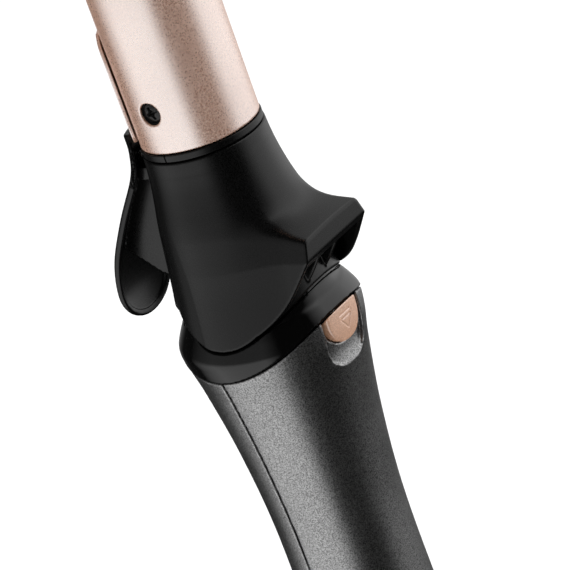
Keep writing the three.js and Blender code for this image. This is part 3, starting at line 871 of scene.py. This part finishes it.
def build_power_button():
    cap = [(NEAR_AXIS, 18.35), (2.6, 18.4), (3.6, 18.68), (4.3, 18.4), (4.3, 13.9)]
    flange = [(5.3, 13.9), (5.3, 12.8), (NEAR_AXIS, 12.8)]
    points, quads = lathe(resampled(rounded(cap + flange, 0.35), 0.6), 72)
    placed = (turned(points, 0, POWER_HEIGHT), quads)
    piece("power_key", placed, TIP_BLACK, "power", "power_plastic", "power_button")
    corners = [(NEAR_AXIS, 18.6), (0.9, 18.52), (1.45, 18.2), (1.45, 9), (NEAR_AXIS, 9)]
    points, quads = lathe(resampled(rounded(corners, 0.2), 0.5), 40)
    piece("lens_window", (turned(points, 0, LENS_HEIGHT), quads), LENS, "handle", "lens", "indicator_lens")


# ---------- studio ----------

CAMERA_AZIMUTH, CAMERA_ELEVATION, CAMERA_ROLL = -47.2, 22.5, -19.86
CAMERA_DISTANCE = 637.0
CAMERA_AIM = np.array([-8.7, -17.0, -41.7])
CAMERA_LENS = 157.9


def build_camera():
    azimuth, elevation, roll = (math.radians(a) for a in (CAMERA_AZIMUTH, CAMERA_ELEVATION, CAMERA_ROLL))
    back = Vector((
        math.sin(azimuth) * math.cos(elevation),
        -math.cos(azimuth) * math.cos(elevation),
        math.sin(elevation),
    ))
    level_right = Vector((0, 0, 1)).cross(back).normalized()
    level_up = back.cross(level_right)
    right = math.cos(roll) * level_right + math.sin(roll) * level_up
    up = math.cos(roll) * level_up - math.sin(roll) * level_right
    place = Vector(CAMERA_AIM * MM + AXIS) + back * CAMERA_DISTANCE * MM
    camera = bpy.data.objects.new("camera", bpy.data.cameras.new("camera"))
    camera.data.lens = CAMERA_LENS
    camera.data.clip_start = 0.05
    turn = Matrix((right, up, back)).transposed().to_4x4()
    camera.matrix_world = Matrix.Translation(place) @ turn
    bpy.context.scene.collection.objects.link(camera)
    bpy.context.scene.camera = camera


def build_floor():
    size = 6.0
    data = bpy.data.meshes.new("studio_floor")
    corners = [(-size, -size, 0), (size, -size, 0), (size, size, 0), (-size, size, 0)]
    data.from_pydata(corners, [], [(0, 1, 2, 3)])
    floor = bpy.data.objects.new("studio_floor", data)
    paint = bpy.data.materials.new("white_floor")
    paint.use_nodes = True
    nodes = Nodes(paint.node_tree)
    shader = paint.node_tree.nodes["Principled BSDF"]
    shader.inputs["Roughness"].default_value = 0.9
    shader.inputs["Specular IOR Level"].default_value = 0.1
    tones = nodes.ramp(nodes.noise(3.0), [(0.0, grey(0.93)), (1.0, grey(0.95))])
    nodes.link(tones, shader.inputs["Base Color"])
    data.materials.append(paint)
    bpy.context.scene.collection.objects.link(floor)
    floor.visible_glossy = False
    floor.visible_shadow = False


# The panels' brightness by angle around from the camera, then by height above level, both in degrees.
LEFT_PANEL = [(-180, 0), (-124, 0), (-88, 1), (-22, 1), (-2, 0), (180, 0)]
RIGHT_PANEL = [(-180, 0.3), (-145, 0), (50, 0), (76, 1), (124, 1), (155, 0.45), (180, 0.3)]
LEFT_HEIGHTS = [(-90, 0), (-66, 0), (-54, 0.68), (-14, 0.72), (2, 0.22), (34, 0.2), (48, 0)]
RIGHT_HEIGHTS = [(-90, 0), (-28, 0), (-19, 0.68), (10, 0.75), (52, 1), (68, 0), (90, 0)]
PANEL_STRENGTH = 1.65
ROOM_GLOW = 0.012


def build_world():
    """A dim room with two soft panels, to the left and the right of the camera, and a dark gap between."""
    world = bpy.data.worlds.new("studio")
    bpy.context.scene.world = world
    world.use_nodes = True
    nodes = Nodes(world.node_tree)
    background = world.node_tree.nodes["Background"]
    place = nodes.add("ShaderNodeTexCoord")
    turn = nodes.add("ShaderNodeMapping", vector_type="TEXTURE")
    turn.inputs["Rotation"].default_value = (0, 0, math.radians(CAMERA_AZIMUTH - 90))
    around = nodes.add("ShaderNodeTexGradient", gradient_type="RADIAL")
    nodes.link(place.outputs["Generated"], turn.inputs["Vector"])
    nodes.link(turn.outputs["Vector"], around.inputs["Vector"])
    split = nodes.add("ShaderNodeSeparateXYZ")
    nodes.link(place.outputs["Generated"], split.inputs["Vector"])
    rising = nodes.add("ShaderNodeMath", operation="ARCSINE")
    nodes.link(split.outputs["Z"], rising.inputs[0])
    height = nodes.ranged(rising.outputs[0], -math.pi / 2, math.pi / 2, 0, 1)
    panels = []
    for sides, heights in ((LEFT_PANEL, LEFT_HEIGHTS), (RIGHT_PANEL, RIGHT_HEIGHTS)):
        turns = [((angle + 180) / 360, grey(value)) for angle, value in sides]
        rises = [((angle + 90) / 180, grey(value)) for angle, value in heights]
        across = nodes.ramp(around.outputs["Fac"], turns)
        upright = nodes.ramp(height, rises)
        panel = nodes.add("ShaderNodeMath", operation="MULTIPLY")
        nodes.link(across, panel.inputs[0])
        nodes.link(upright, panel.inputs[1])
        panels.append(panel.outputs[0])
    both = nodes.add("ShaderNodeMath", operation="ADD")
    nodes.link(panels[0], both.inputs[0])
    nodes.link(panels[1], both.inputs[1])
    nodes.link(nodes.ranged(both.outputs[0], 0, 1, ROOM_GLOW, 1), background.inputs["Color"])
    background.inputs["Strength"].default_value = PANEL_STRENGTH


def build_overhead():
    light = bpy.data.lights.new("overhead", "AREA")
    light.shape = "SQUARE"
    light.size = 4.0
    light.energy = 75.0
    lamp = bpy.data.objects.new("overhead", light)
    lamp.location = (0, 0, 1.8)
    lamp.visible_camera = False
    lamp.visible_glossy = False
    bpy.context.scene.collection.objects.link(lamp)


build_camera()
build_floor()
build_world()
build_overhead()
bpy.context.scene.view_settings.view_transform = "Standard"

dress_cad_nodes()
build_barrel()
build_barrel_screws()
build_rim_ring()
build_tip()
build_neck()
build_plate()
build_lever()
build_rivets()
build_collar()
build_handle()
build_handle_screws()
build_base()
build_release_button()
build_power_button()
